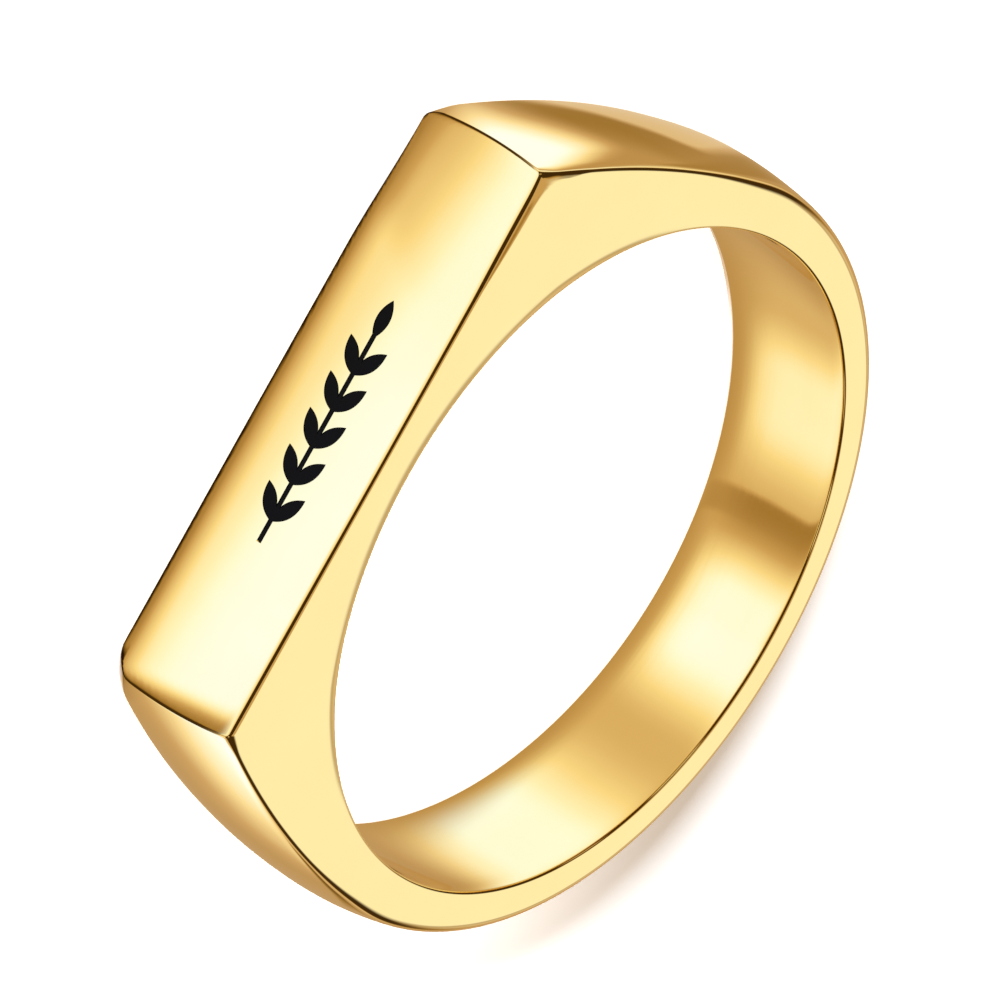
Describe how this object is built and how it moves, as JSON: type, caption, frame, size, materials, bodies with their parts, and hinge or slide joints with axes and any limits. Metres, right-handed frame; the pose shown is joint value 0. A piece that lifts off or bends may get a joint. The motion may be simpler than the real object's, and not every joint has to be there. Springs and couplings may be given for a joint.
{
  "type": "name ring",
  "caption": "Plain gold signet ring with a long narrow flat plate, sharp-edged shoulders and a tapering shank, lying on its side; a small black leaf sprig is engraved on the plate.",
  "frame": {"origin": "on the bore's axis, in the plane that the ring's side face rests on", "axes": "+Z along the finger bore, -Y out of the plate's face, X along the plate"},
  "size_m": [0.0202, 0.0197, 0.004],
  "materials": {
    "gold_plating": "mirror-polished yellow gold plating",
    "black_enamel": "satin black enamel, flush in the engraving"
  },
  "bodies": {
    "root": {"ring": "gold_plating", "engraving_inlay": "black_enamel"}
  },
  "joints": []
}
